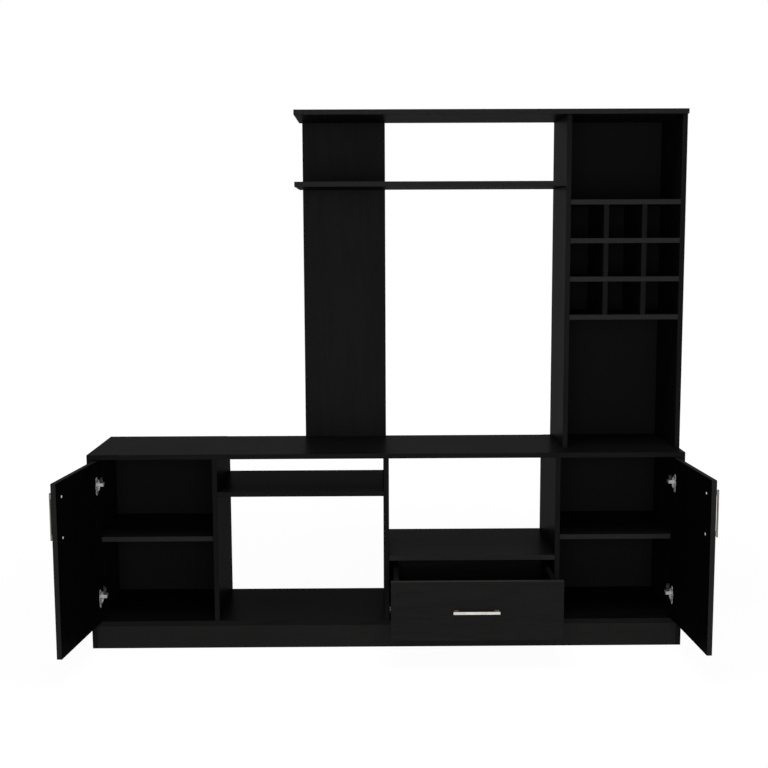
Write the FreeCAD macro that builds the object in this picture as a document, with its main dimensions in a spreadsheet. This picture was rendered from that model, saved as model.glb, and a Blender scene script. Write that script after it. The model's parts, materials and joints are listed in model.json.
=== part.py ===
import FreeCAD, Part
import Sketcher
import os
import re

# Media wall unit: a low cabinet with two cupboards, a drawer and open bays, and a hutch on top of it
# with a tall rear panel, a long shelf and a tower that holds a bottle rack.
# Millimetres. X runs to the right, Y to the rear, Z up.
# The origin is on the floor at the middle of the base.
# The doors stand open and the drawer is pulled out, as the unit is shown.

doc = FreeCAD.newDocument("media_wall_unit")
sheet = doc.addObject("Spreadsheet::Sheet", "dims")

SIZES = {
    # boards
    "board": 15,
    "board_depth": 337,
    "back_sheet": 3,
    # base cabinet
    "base_width": 1800,
    "base_height": 600,
    "plinth_height": 70,
    "cupboard_width": 360,
    "media_gap": 100,
    "drawer_opening": 185,
    "cupboard_shelf_height": 242.5,
    "cupboard_shelf_setback": 25,
    "cupboard_shelf_play": 1,
    # hutch
    "hutch_height": 1020,
    "hutch_length": 1170,
    "hutch_depth": 280,
    "hutch_shelf_gap": 195,
    "panel_width": 262,
    "panel_overhang": 10,
    "tower_width": 359,
    "tower_depth": 265,
    "rack_gap": 250,
    "cell_height": 100,
    "lap_play": 0.2,
    # doors
    "door_board": 15,
    "door_gap": 2,
    "hinge_gap": 3,
    "left_door_angle": 96.3,
    "right_door_angle": 93.3,
    "hinge_inset": 75,
    # concealed hinges
    "pin_inset": 8,
    "pin_depth": 8.5,
    "pin_radius": 1.25,
    "pin_play": 0.05,
    "pin_reach": 7.5,
    "cup_edge": 3,
    "cup_radius": 17.5,
    "cup_depth": 12,
    "cup_wall": 0.9,
    "cheek_low": 5.4,
    "cheek_high": 8.8,
    "cheek_length": 3.5,
    "flange": 1.2,
    "flange_rim": 2,
    "wing_radius": 7,
    "cup_wing": 21.5,
    "cup_wing_offset": 9.5,
    "cup_screw_pitch": 45,
    "strip": 2.6,
    "strip_width": 10,
    "boss_radius": 2.4,
    "hook_reach": 20,
    "hook_drop": 17,
    "arm_length": 75,
    "channel_width": 18,
    "channel_depth": 8,
    "channel_wall": 1.6,
    "channel_start": 28,
    "plate_height": 5,
    "plate_wing": 22,
    "plate_wing_thickness": 2,
    "plate_screw_pitch": 32,
    "plate_screw_setback": 43,
    # drawer
    "drawer_pull": 205,
    "drawer_gap": 2,
    "drawer_front_height": 175,
    "drawer_foot_gap": 3,
    "drawer_length": 300,
    "drawer_side_height": 145,
    "drawer_side_lift": 15,
    "groove_depth": 5,
    "groove_lift": 8,
    # runners
    "runner_space": 12.5,
    "runner_steel": 1.2,
    "runner_length": 300,
    "runner_setback": 18,
    "runner_lift": 3,
    "runner_play": 0.5,
    "rail_lip": 8,
    "roller_radius": 8,
    "roller_width": 6,
    "roller_play": 0.3,
    "roller_inset": 12,
    "axle_radius": 2.5,
    # handles
    "handle_pitch": 115.5,
    "handle_length": 135,
    "handle_bar": 8,
    "handle_thickness": 3.5,
    "handle_foot": 13,
    "handle_projection": 20,
    "handle_edge": 41,
    "handle_top": 102,
    "drawer_handle_shift": 3,
    # fasteners
    "cam_radius": 7.5,
    "cam_depth": 12,
    "cam_distance": 24,
    "bolt_radius": 3.5,
    "bolt_thread": 10,
    "joint_margin": 60,
    "dowel_radius": 4,
    "dowel_length": 30,
    "dowel_socket": 9,
    "dowel_margin": 35,
    "joint_screw_radius": 3.5,
    "joint_screw_length": 50,
    "joint_screw_head": 5,
    "joint_screw_head_height": 3,
    "shelf_pin_radius": 2.5,
    "shelf_pin_length": 18,
    "shelf_pin_socket": 9,
    "shelf_pin_margin": 45,
    "screw_radius": 1.75,
    "screw_length": 11,
    "screw_head_radius": 3.5,
    "screw_head_height": 1.5,
    "handle_screw_radius": 2,
    "handle_screw_grip": 10,
    "handle_screw_head_radius": 4,
    "handle_screw_head_height": 2.2,
}
for row, (alias, value) in enumerate(SIZES.items(), start=1):
    sheet.set(f"A{row}", alias.replace("_", " "))
    sheet.set(f"B{row}", str(value))
    sheet.setAlias(f"B{row}", alias)
doc.recompute()

NODES = []
BORES = {}
# Small repeated pieces, and the holes that they fill, have this many flats.
FLATS = {
    "cam_radius": 8,
    "bolt_radius": 6,
    "dowel_radius": 8,
    "joint_screw_radius": 6,
    "joint_screw_head": 8,
    "shelf_pin_radius": 8,
    "screw_radius": 6,
    "screw_head_radius": 8,
    "handle_screw_radius": 6,
    "handle_screw_head_radius": 10,
    "pin_radius": 12,
    "axle_radius": 12,
    "axle_radius + runner_steel": 12,
    "boss_radius": 12,
    "wing_radius": 12,
    "cup_radius + flange_rim": 28,
}
TURNS = {
    "x": FreeCAD.Rotation(FreeCAD.Vector(0, 1, 0), 90),
    "y": FreeCAD.Rotation(FreeCAD.Vector(1, 0, 0), -90),
    "z": FreeCAD.Rotation(),
}


# Helpers: every size and place is a formula over the sheet

def formula(text):
    return re.sub(r"[a-z]\w*", lambda word: "dims." + word.group(), str(text))


def bind(thing, **formulas):
    for name, text in formulas.items():
        thing.setExpression(name.replace("__", "."), formula(text))


def place(thing, x=0, y=0, z=0):
    bind(thing, Placement__Base__x=x, Placement__Base__y=y, Placement__Base__z=z)
    return thing


def block(x, y, z):
    """A box between two formulas on each axis."""
    solid = doc.addObject("Part::Box", "block")
    bind(solid, Length=f"{x[1]} - ({x[0]})", Width=f"{y[1]} - ({y[0]})", Height=f"{z[1]} - ({z[0]})")
    return place(solid, x[0], y[0], z[0])


def rod(axis, x, y, z, radius):
    """A round bar along the axis whose place is a pair of formulas."""
    if radius in FLATS:
        solid = doc.addObject("Part::Prism", "rod")
        solid.Polygon = FLATS[radius]
        bind(solid, Circumradius=radius)
    else:
        solid = doc.addObject("Part::Cylinder", "rod")
        bind(solid, Radius=radius)
    solid.Placement = FreeCAD.Placement(FreeCAD.Vector(), TURNS[axis])
    low, high = {"x": x, "y": y, "z": z}[axis]
    bind(solid, Height=f"{high} - ({low})")
    start = [low if name == axis else place_on for name, place_on in (("x", x), ("y", y), ("z", z))]
    return place(solid, *start)


def joined(kind, solids):
    result = doc.addObject(kind, "joined")
    if kind == "Part::Compound":
        result.Links = solids
    else:
        result.Shapes = solids
    return result


def fuse(*solids):
    return joined("Part::MultiFuse", list(solids))


def common(*solids):
    return joined("Part::MultiCommon", list(solids))


def cut(base, *tools):
    result = doc.addObject("Part::Cut", "cut")
    result.Base = base
    result.Tool = tools[0] if len(tools) == 1 else joined("Part::Compound", list(tools))
    return result


def extruded(points, plane, length):
    """A padded profile: its corners are pairs of formulas on the named plane."""
    body = doc.addObject("PartDesign::Body", "body")
    sketch = body.newObject("Sketcher::SketchObject", "profile")
    planes = [feature for feature in body.Origin.OriginFeatures if feature.Role == plane]
    sketch.AttachmentSupport = (planes[0], "")
    sketch.MapMode = "FlatFace"
    count = len(points)
    spots = [FreeCAD.Vector(*(sheet_value(text) for text in point), 0) for point in points]
    for index in range(count):
        sketch.addGeometry(Part.LineSegment(spots[index], spots[(index + 1) % count]))
    for index, point in enumerate(points):
        sketch.addConstraint(Sketcher.Constraint("Coincident", index, 2, (index + 1) % count, 1))
        for direction, text, value in zip(("DistanceX", "DistanceY"), point, spots[index]):
            number = sketch.addConstraint(Sketcher.Constraint(direction, -1, 1, index, 1, value))
            sketch.setExpression(f"Constraints[{number}]", formula(text))
    pad = body.newObject("PartDesign::Pad", "pad")
    pad.Profile = sketch
    bind(pad, Length=length)
    body.Tip = pad
    return body


def sheet_value(text):
    """The number that a formula has with the sheet's sizes."""
    return sheet.evalExpression(formula(text))


def drill(board, *tools):
    BORES.setdefault(board, []).extend(tools)


def node(name, solid):
    """Names a finished piece, with the bores that its neighbours need."""
    tools = BORES.pop(name, [])
    piece = cut(solid, *tools) if tools else solid
    piece.Label = name
    NODES.append(piece)
    return piece


def group(name, solids):
    return node(name, joined("Part::Compound", solids))


def mirrored(sign, span):
    """A span of formulas, on the left side as given and on the right side mirrored."""
    low, high = span
    return (low, high) if sign < 0 else (f"-({high})", f"-({low})")


def at_side(sign, text):
    return text if sign < 0 else f"-({text})"


# Planes of the cabinet

HALF = "(base_width / 2)"
SIDE = "(base_width / 2 - board)"
WALL = "(base_width / 2 - board - cupboard_width)"
BAY = "(base_width / 2 - 2 * board - cupboard_width)"
FRONT = "(-(board_depth + back_sheet) / 2)"
REAR = "((board_depth - back_sheet) / 2)"
BACK = "((board_depth + back_sheet) / 2)"
FLOOR = "(plinth_height + board)"
CEILING = "(base_height - board)"
MEDIA = "(base_height - 2 * board - media_gap)"
DRAWER_ROOF = "(plinth_height + board + drawer_opening)"
TOP = "(base_height + hutch_height)"
UNDER = "(base_height + hutch_height - board)"
HUTCH_LEFT = "(base_width / 2 - hutch_length)"
HUTCH_FRONT = f"({REAR} - hutch_depth)"
PANEL_LEFT = f"({HUTCH_LEFT} + panel_overhang)"
TOWER_LEFT = "(base_width / 2 - tower_width)"
TOWER_INSIDE = "(base_width / 2 - tower_width + board)"
TOWER_FRONT = f"({REAR} - tower_depth)"
RACK = f"({UNDER} - rack_gap)"
CELL = "((tower_width - 4 * board) / 3)"
CELL_STEP = "(cell_height + board)"
SHELF_Z = f"({UNDER} - hutch_shelf_gap - board)"
DEEP = (FRONT, REAR)


def negative(text):
    return f"(-{text})"


def up_from(low, rise):
    return (low, f"{low} + {rise}")


# Boards of the base and the hutch, before they are bored

boards = {
    "base_top": block((negative(HALF), HALF), DEEP, (CEILING, "base_height")),
    "base_bottom": block((negative(SIDE), SIDE), DEEP, ("plinth_height", FLOOR)),
    "base_left_side": block((negative(HALF), negative(SIDE)), DEEP, ("0", CEILING)),
    "base_right_side": block((SIDE, HALF), DEEP, ("0", CEILING)),
    "left_partition": block((negative(WALL), negative(BAY)), DEEP, (FLOOR, CEILING)),
    "centre_partition": block(("-board / 2", "board / 2"), DEEP, (FLOOR, CEILING)),
    "right_partition": block((BAY, WALL), DEEP, (FLOOR, CEILING)),
    "media_shelf": block((negative(BAY), "-board / 2"), DEEP, up_from(MEDIA, "board")),
    "drawer_bay_shelf": block(("board / 2", BAY), DEEP, up_from(DRAWER_ROOF, "board")),
    "plinth_front": block((negative(SIDE), SIDE), up_from(FRONT, "board"), ("0", "plinth_height")),
    "plinth_rear": block((negative(SIDE), SIDE), (f"{REAR} - board", REAR), ("0", "plinth_height")),
    "left_cupboard_back": block(
        (negative(HALF), f"board / 2 - {WALL}"), (REAR, BACK), ("plinth_height", "base_height")),
    "right_cupboard_back": block(
        (f"{WALL} - board / 2", HALF), (REAR, BACK), ("plinth_height", "base_height")),
    "drawer_bay_back": block(
        ("0", f"{WALL} - board / 2"), (REAR, BACK), ("plinth_height", f"{DRAWER_ROOF} + board")),
    "hutch_top": block((HUTCH_LEFT, HALF), (HUTCH_FRONT, REAR), (UNDER, TOP)),
    "hutch_panel": block(
        up_from(PANEL_LEFT, "panel_width"), (f"{REAR} - board", REAR), ("base_height", UNDER)),
    "hutch_shelf": block(
        (HUTCH_LEFT, TOWER_LEFT), (HUTCH_FRONT, f"{REAR} - board"), up_from(SHELF_Z, "board")),
    "tower_left_side": block((TOWER_LEFT, TOWER_INSIDE), (TOWER_FRONT, REAR), ("base_height", UNDER)),
    "tower_right_side": block((SIDE, HALF), (TOWER_FRONT, REAR), ("base_height", UNDER)),
    "tower_back": block((TOWER_LEFT, HALF), (REAR, BACK), ("base_height", TOP)),
}
rails = []
for middle in ("0", f"board / 2 - {WALL}", f"{WALL} - board / 2"):
    across = (f"{middle} - board / 2", f"{middle} + board / 2")
    rails.append(block(across, (f"{FRONT} + board", f"{REAR} - board"), ("0", "plinth_height")))
group("plinth_cross_rails", rails)


# Bottle rack: boards and dividers halved into each other, the boards from behind

RACK_BOARDS = ("rack_top_board", "rack_upper_board", "rack_lower_board", "rack_bottom_board")
DIVIDERS = ("rack_left_divider", "rack_right_divider")
RACK_MIDDLE = f"({REAR} - tower_depth / 2)"
for level, name in enumerate(RACK_BOARDS):
    high = f"({RACK} - {level} * {CELL_STEP})"
    boards[name] = block((TOWER_INSIDE, SIDE), (TOWER_FRONT, REAR), (f"{high} - board", high))
for place_in_row, name in enumerate(DIVIDERS, start=1):
    left = f"({TOWER_INSIDE} + {place_in_row} * {CELL} + {place_in_row - 1} * board)"
    boards[name] = block(
        up_from(left, "board"), (TOWER_FRONT, REAR), (f"{RACK} - 3 * {CELL_STEP}", f"{RACK} - board"))
    for level in (1, 2):
        high = f"({RACK} - {level} * {CELL_STEP})"
        lap = (f"{left} - lap_play", f"{left} + board + lap_play")
        drill(RACK_BOARDS[level], block(lap, (RACK_MIDDLE, REAR), (f"{high} - board", high)))
        lap = (f"{high} - board - lap_play", f"{high} + lap_play")
        drill(name, block(up_from(left, "board"), (TOWER_FRONT, RACK_MIDDLE), lap))


# Cam joints: a disc in one board and a bolt from it into the next board

cams = []
bolts = []


def cam_joint(disc_board, bolt_board, disc, bolt):
    """A bolt that runs from the disc's middle and is cut back to the disc's rim."""
    cam = rod(*disc, "cam_radius")
    shaft = rod(*bolt, "bolt_radius")
    cams.append(cam)
    bolts.append(cut(shaft, cam))
    drill(disc_board, cam, shaft)
    drill(bolt_board, shaft)


JOINT_ROWS = (f"{FRONT} + joint_margin", f"{REAR} - joint_margin")
UPRIGHTS = (
    ("base_left_side", negative(HALF), True),
    ("left_partition", negative(WALL), False),
    ("centre_partition", "(-board / 2)", True),
    ("right_partition", BAY, True),
    ("base_right_side", SIDE, False),
)
for name, low, disc_on_right in UPRIGHTS:
    middle = f"{low} + board / 2"
    depth = (f"{low} + board - cam_depth", f"{low} + board") if disc_on_right else up_from(low, "cam_depth")
    centre = f"{CEILING} - cam_distance"
    for row in JOINT_ROWS:
        cam_joint(
            name, "base_top",
            ("x", depth, row, centre),
            ("z", middle, row, (centre, f"{CEILING} + bolt_thread")))

SHELF_ENDS = (
    ("base_bottom", "base_left_side", "plinth_height", negative(SIDE), 1),
    ("base_bottom", "base_right_side", "plinth_height", SIDE, -1),
    ("media_shelf", "left_partition", MEDIA, negative(BAY), 1),
    ("media_shelf", "centre_partition", MEDIA, "(-board / 2)", -1),
    ("drawer_bay_shelf", "centre_partition", DRAWER_ROOF, "(board / 2)", 1),
    ("drawer_bay_shelf", "right_partition", DRAWER_ROOF, BAY, -1),
)


def inward(sign, end, low, high):
    """A span that runs from a board's end into the board, or outward with negative formulas."""
    return (f"{end} + {low}", f"{end} + {high}") if sign > 0 else (f"{end} - ({high})", f"{end} - ({low})")


for name, neighbour, low, end, sign in SHELF_ENDS:
    middle = f"{low} + board / 2"
    centre = f"{end} + {sign} * cam_distance"
    for row in JOINT_ROWS:
        cam_joint(
            name, neighbour,
            ("z", centre, row, up_from(low, "cam_depth")),
            ("x", inward(sign, end, "(-bolt_thread)", "cam_distance"), row, middle))
group("cam_locks", cams)
group("cam_bolts", bolts)


# Joint screws of the hutch, and dowels that stand it on the base

screws = []


def joint_screw(head_board, end_board, axis, spot, direction):
    """A screw from a board's face, at the spot's first formula on its axis, into the next board's end."""
    face, others = spot[axis], {name: text for name, text in spot.items() if name != axis}
    neck = inward(direction, face, "0", "joint_screw_head_height")
    shank = inward(direction, face, "joint_screw_head_height", "joint_screw_length")
    screws.append(fuse(
        rod(axis, **others, **{axis: neck}, radius="joint_screw_head"),
        rod(axis, **others, **{axis: shank}, radius="joint_screw_radius")))
    drill(head_board, screws[-1])
    drill(end_board, screws[-1])


PANEL_ROWS = (f"{PANEL_LEFT} + joint_margin", f"{PANEL_LEFT} + panel_width - joint_margin")
TOWER_ROWS = (f"{TOWER_FRONT} + joint_margin", f"{REAR} - joint_margin")
for row in TOWER_ROWS:
    left_spot = {"x": f"{TOWER_LEFT} + board / 2", "y": row, "z": TOP}
    joint_screw("hutch_top", "tower_left_side", "z", left_spot, -1)
    right_spot = {"x": f"{HALF} - board / 2", "y": row, "z": TOP}
    joint_screw("hutch_top", "tower_right_side", "z", right_spot, -1)
    middle = f"{SHELF_Z} + board / 2"
    joint_screw("tower_left_side", "hutch_shelf", "x", {"x": TOWER_INSIDE, "y": row, "z": middle}, -1)
for row in PANEL_ROWS:
    joint_screw("hutch_top", "hutch_panel", "z", {"x": row, "y": f"{REAR} - board / 2", "z": TOP}, -1)
    shelf_spot = {"x": row, "y": REAR, "z": f"{SHELF_Z} + board / 2"}
    joint_screw("hutch_panel", "hutch_shelf", "y", shelf_spot, -1)
group("hutch_screws", screws)

FEET = [("hutch_panel", f"{PANEL_LEFT} + dowel_margin", f"{REAR} - board / 2"),
        ("hutch_panel", f"{PANEL_LEFT} + panel_width - dowel_margin", f"{REAR} - board / 2")]
TOWER_SIDES = {
    "tower_left_side": f"{TOWER_LEFT} + board / 2",
    "tower_right_side": f"{HALF} - board / 2",
}
for name, middle in TOWER_SIDES.items():
    FEET += [(name, middle, f"{TOWER_FRONT} + dowel_margin"), (name, middle, f"{REAR} - dowel_margin")]
dowels = []
for name, x, y in FEET:
    span = ("base_height - dowel_socket", "base_height - dowel_socket + dowel_length")
    dowels.append(rod("z", x, y, span, "dowel_radius"))
    drill("base_top", dowels[-1])
    drill(name, dowels[-1])
group("hutch_dowels", dowels)


# Cupboard shelves on pins

SHELF_LOW = f"({FLOOR} + cupboard_shelf_height)"
SHELF_FRONT = f"({FRONT} + cupboard_shelf_setback)"
pins = []
for side, sign in (("left", -1), ("right", 1)):
    width = mirrored(sign, (f"cupboard_shelf_play - {SIDE}", f"-{WALL} - cupboard_shelf_play"))
    depth = (SHELF_FRONT, f"{REAR} - cupboard_shelf_play")
    node(f"{side}_cupboard_shelf", block(width, depth, up_from(SHELF_LOW, "board")))
    reach = "(shelf_pin_length - shelf_pin_socket)"
    outer = mirrored(sign, (f"-{SIDE} - shelf_pin_socket", f"-{SIDE} + {reach}"))
    inner = mirrored(sign, (f"-{WALL} - {reach}", f"-{WALL} + shelf_pin_socket"))
    for board_name, span in ((f"base_{side}_side", outer), (f"{side}_partition", inner)):
        for row in (f"{SHELF_FRONT} + shelf_pin_margin", f"{REAR} - shelf_pin_margin"):
            pins.append(rod("x", span, row, f"{SHELF_LOW} - shelf_pin_radius", "shelf_pin_radius"))
            drill(board_name, pins[-1])
group("shelf_pins", pins)


# Bar handles: a flat bar with bevelled ends on two feet

def handle(plane, across):
    """A handle that stands forward of its origin, and the profile's corners taken along the named plane."""
    half = "(handle_length / 2)"
    outer = "(handle_pitch / 2 + handle_foot / 2)"
    inner = "(handle_pitch / 2 - handle_foot / 2)"
    bevel = "(handle_thickness / 3)"
    gap = "(handle_projection - handle_thickness)"
    right_half = [
        (inner, "0"), (outer, "0"), (outer, gap), (half, gap),
        (half, f"handle_projection - {bevel}"), (f"{half} - {bevel}", "handle_projection"),
    ]
    left_half = [(f"-({along})", out) for along, out in reversed(right_half)]
    outline = [*right_half, *left_half, (negative(inner), gap), (inner, gap)]
    if plane == "XY_Plane":
        corners = [(along, f"-({out})") for along, out in outline]
    else:
        corners = [(f"-({out})", along) for along, out in outline]
    return extruded(corners, plane, across)


# Doors on concealed hinges, in a frame whose origin is on the hinge pins' axis, with the door shut

DOOR_LOW = f"({FLOOR} + door_gap)"
DOOR_HIGH = f"({CEILING} - door_gap)"
DOOR_END = "(cupboard_width - hinge_gap - door_gap - pin_inset)"
OUTER = "(pin_depth - door_board)"
PIVOT_Y = f"({FRONT} + door_board - pin_depth)"
CUP_X = "(cup_edge + cup_radius - pin_inset)"
WING_X = f"({CUP_X} + cup_wing_offset)"
SEAT = "(-hinge_gap - pin_inset)"
CHANNEL_LOW = f"({SEAT} + plate_height)"
CHANNEL_HIGH = f"({SEAT} + plate_height + channel_depth)"
HINGE_HEIGHTS = (f"({DOOR_LOW} + hinge_inset)", f"({DOOR_HIGH} - hinge_inset)")
arms = []
plates = []
plate_screws = []


def about(middle, half):
    return (f"{middle} - ({half})", f"{middle} + {half}")


def stadium(axis, x, y, z, reach, thickness):
    """A plate with round ends above and below its middle, flat across the axis."""
    width = about(y if axis == "x" else x, "wing_radius")
    if axis == "x":
        middle = block(thickness, width, about(z, reach))
        ends = [rod("x", thickness, y, f"{z} {sign} {reach}", "wing_radius") for sign in "+-"]
    else:
        middle = block(width, thickness, about(z, reach))
        ends = [rod("y", x, thickness, f"{z} {sign} {reach}", "wing_radius") for sign in "+-"]
    return [middle, *ends]


def hinge_cup(sign, z):
    x = at_side(sign, CUP_X)
    inside = "cup_radius - cup_wall"
    shell = cut(
        rod("y", x, ("pin_depth - cup_depth", "pin_depth"), z, "cup_radius"),
        rod("y", x, ("pin_depth - cup_depth + cup_wall", "pin_depth"), z, inside))
    reach = mirrored(sign, (f"{CUP_X} - cup_radius", "cheek_length"))
    depth = ("pin_depth - cup_depth + cup_wall / 2", "pin_depth")
    cheeks = []
    for low, high in (("cheek_low", "cheek_high"), ("-cheek_high", "-cheek_low")):
        slab = block(reach, depth, (f"{z} + ({low})", f"{z} + ({high})"))
        cheeks.append(common(slab, rod("y", x, depth, z, "cup_radius - cup_wall / 2")))
    rim = ("pin_depth", "pin_depth + flange")
    ring = rod("y", x, rim, z, "cup_radius + flange_rim")
    mouth = rod("y", x, rim, z, inside)
    wing_x = at_side(sign, WING_X)
    plate = cut(fuse(ring, *stadium("y", wing_x, None, z, "cup_wing", rim)), mouth)
    holes = [rod("z", "0", "0", about(z, "pin_reach"), "pin_radius")]
    for screw_z in about(z, "cup_screw_pitch / 2"):
        holes.append(rod("y", wing_x, rim, screw_z, "screw_radius"))
    return cut(fuse(shell, *cheeks, plate), *holes)


def hinge_arm(sign, z):
    """A strip that leaves the cup beside the pin, bends round the door's edge and ends in a channel."""
    bend = "(hook_reach - strip / 2)"
    corners = [
        ("0", "-strip / 2"), ("hook_reach", "-strip / 2"), ("hook_reach + strip / 2", "0"),
        ("hook_reach + strip / 2", "hook_drop + strip / 2"), (CHANNEL_HIGH, "channel_start"),
        (CHANNEL_HIGH, "arm_length"), (f"{CHANNEL_HIGH} - channel_wall", "arm_length"),
        (f"{CHANNEL_HIGH} - channel_wall", "channel_start - strip / 2"),
        (bend, "hook_drop - strip / 2"), (bend, "strip / 2"), ("0", "strip / 2"),
    ]
    strip = extruded([(at_side(sign, x), y) for x, y in corners], "XY_Plane", "strip_width")
    place(strip, z=f"{z} - strip_width / 2")
    boss = rod("z", "0", "0", about(z, "strip_width / 2"), "boss_radius")
    length = ("channel_start", "arm_length")
    channel = cut(
        block(mirrored(sign, (CHANNEL_LOW, CHANNEL_HIGH)), length, about(z, "channel_width / 2")),
        block(mirrored(sign, (CHANNEL_LOW, f"{CHANNEL_HIGH} - channel_wall")), length,
              about(z, "(channel_width / 2 - channel_wall)")))
    eye = rod("z", "0", "0", about(z, "strip_width / 2"), "pin_radius + pin_play")
    return cut(fuse(strip, boss, channel), eye)


def hinge_plate(sign, z):
    rise = mirrored(sign, (SEAT, CHANNEL_LOW))
    wing = mirrored(sign, up_from(SEAT, "plate_wing_thickness"))
    bed = block(rise, ("channel_start", "arm_length"), about(z, "channel_width / 2"))
    plate = fuse(bed, *stadium("x", None, "plate_screw_setback", z, "plate_wing", wing))
    holes = [rod("x", wing, "plate_screw_setback", screw_z, "screw_radius")
             for screw_z in about(z, "plate_screw_pitch / 2")]
    return cut(plate, *holes)


def screw(axis, x, y, z):
    """A flat-headed screw: the pair of spans on its axis is the shank's and then the head's."""
    spans = {"x": x, "y": y, "z": z}
    shank, head = spans[axis]
    others = {name: text for name, text in spans.items() if name != axis}
    return fuse(
        rod(axis, **others, **{axis: shank}, radius="screw_radius"),
        rod(axis, **others, **{axis: head}, radius="screw_head_radius"))


def on_hinge(piece, sign, angle):
    """Stands a piece on the hinge axis, turned from shut by an angle."""
    bind(piece, Placement__Base__x=at_side(sign, f"-{SIDE} - {SEAT}"), Placement__Base__y=PIVOT_Y,
         Placement__Rotation__Angle=angle)
    return piece


for side, sign in (("left", -1), ("right", 1)):
    angle = f"{sign} * {side}_door_angle"
    bore_depth = "(screw_length - plate_wing_thickness)"
    cups, hinge_pins, cup_screws = [], [], []
    door = block(mirrored(sign, ("-pin_inset", DOOR_END)), (OUTER, "pin_depth"), (DOOR_LOW, DOOR_HIGH))
    door_name = f"{side}_door"
    for z in HINGE_HEIGHTS:
        x = at_side(sign, CUP_X)
        wing_x = at_side(sign, WING_X)
        cups.append(hinge_cup(sign, z))
        hinge_pins.append(rod("z", "0", "0", about(z, "pin_reach"), "pin_radius"))
        drill(door_name, rod("y", x, ("pin_depth - cup_depth", "pin_depth"), z, "cup_radius"))
        shank = ("pin_depth + flange - screw_length", "pin_depth + flange")
        for screw_z in about(z, "cup_screw_pitch / 2"):
            head = up_from("pin_depth + flange", "screw_head_height")
            cup_screws.append(screw("y", wing_x, (shank, head), screw_z))
            drill(door_name, rod("y", wing_x, shank, screw_z, "screw_radius"))
        arms.append(on_hinge(hinge_arm(sign, z), sign, "0"))
        plates.append(on_hinge(hinge_plate(sign, z), sign, "0"))
        wing_top = f"{SEAT} + plate_wing_thickness"
        for screw_z in about(z, "plate_screw_pitch / 2"):
            shank = mirrored(sign, (f"{wing_top} - screw_length", wing_top))
            head = mirrored(sign, up_from(wing_top, "screw_head_height"))
            piece = screw("x", (shank, head), "plate_screw_setback", screw_z)
            plate_screws.append(on_hinge(piece, sign, "0"))
            bore = mirrored(sign, (f"-{SIDE} - {bore_depth}", negative(SIDE)))
            setback = f"{PIVOT_Y} + plate_screw_setback"
            drill(f"base_{side}_side", rod("x", bore, setback, screw_z, "screw_radius"))
    handle_x = at_side(sign, f"({DOOR_END} - handle_edge)")
    handle_z = f"({DOOR_HIGH} - handle_top)"
    grip = place(handle("YZ_Plane", "handle_bar"), f"{handle_x} - handle_bar / 2", OUTER, handle_z)
    grip_screws = []
    shank = (f"{OUTER} - handle_screw_grip", "pin_depth")
    for screw_z in about(handle_z, "handle_pitch / 2"):
        spot = ("y", handle_x, shank, screw_z, "handle_screw_radius")
        head = up_from("pin_depth", "handle_screw_head_height")
        head_rod = rod("y", handle_x, head, screw_z, "handle_screw_head_radius")
        grip_screws.append(fuse(rod(*spot), head_rod))
        drill(door_name, rod(*spot))
        drill(f"{side}_door_handle", rod(*spot))
    on_hinge(node(door_name, door), sign, angle)
    on_hinge(node(f"{side}_door_handle", grip), sign, angle)
    on_hinge(group(f"{side}_handle_screws", grip_screws), sign, angle)
    on_hinge(group(f"{side}_hinge_cups", cups), sign, angle)
    on_hinge(group(f"{side}_hinge_pins", hinge_pins), sign, angle)
    on_hinge(group(f"{side}_cup_screws", cup_screws), sign, angle)
group("hinge_arms", arms)
group("hinge_plates", plates)
group("hinge_plate_screws", plate_screws)


# Drawer, pulled out of its bay

FACE = f"({FRONT} - drawer_pull)"
BOX_FRONT = f"({FRONT} + board - drawer_pull)"
BOX_REAR = f"({FRONT} + board - drawer_pull + drawer_length)"
BOX_LEFT = "(board / 2 + runner_space)"
BOX_RIGHT = f"({BAY} - runner_space)"
BOX_LOW = f"({FLOOR} + drawer_side_lift)"
BOX_HIGH = f"({BOX_LOW} + drawer_side_height)"
SHEET = up_from(f"({BOX_LOW} + groove_lift)", "back_sheet")
FACE_LOW = f"({FLOOR} + drawer_foot_gap)"
INSIDE = (f"{BOX_LEFT} + board - groove_depth", f"{BOX_RIGHT} - board + groove_depth")
bottom = (INSIDE, (f"{BOX_FRONT} - groove_depth", BOX_REAR), SHEET)
front = block(("board / 2 + drawer_gap", f"{BAY} - drawer_gap"), (FACE, BOX_FRONT),
              up_from(FACE_LOW, "drawer_front_height"))
drill("drawer_front", block(*bottom))
drill("drawer_left_side", block(*bottom))
drill("drawer_right_side", block(*bottom))
handle_x = f"(({BAY} + board / 2) / 2 - drawer_handle_shift)"
handle_z = f"({FACE_LOW} + drawer_front_height / 2)"
grip = place(handle("XY_Plane", "handle_bar"), handle_x, FACE, f"{handle_z} - handle_bar / 2")
grip_screws = []
shank = (f"{FACE} - handle_screw_grip", BOX_FRONT)
for screw_x in about(handle_x, "handle_pitch / 2"):
    spot = ("y", screw_x, shank, handle_z, "handle_screw_radius")
    head = up_from(BOX_FRONT, "handle_screw_head_height")
    grip_screws.append(fuse(rod(*spot), rod("y", screw_x, head, handle_z, "handle_screw_head_radius")))
    drill("drawer_front", rod(*spot))
    drill("drawer_handle", rod(*spot))
node("drawer_front", front)
node("drawer_left_side", block(up_from(BOX_LEFT, "board"), (BOX_FRONT, BOX_REAR), (BOX_LOW, BOX_HIGH)))
node("drawer_right_side", block(
    (f"{BOX_RIGHT} - board", BOX_RIGHT), (BOX_FRONT, BOX_REAR), (BOX_LOW, BOX_HIGH)))
node("drawer_back", block((f"{BOX_LEFT} + board", f"{BOX_RIGHT} - board"), (f"{BOX_REAR} - board", BOX_REAR),
                          (SHEET[1], BOX_HIGH)))
node("drawer_bottom", block(*bottom))
node("drawer_handle", grip)
group("drawer_handle_screws", grip_screws)


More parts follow.
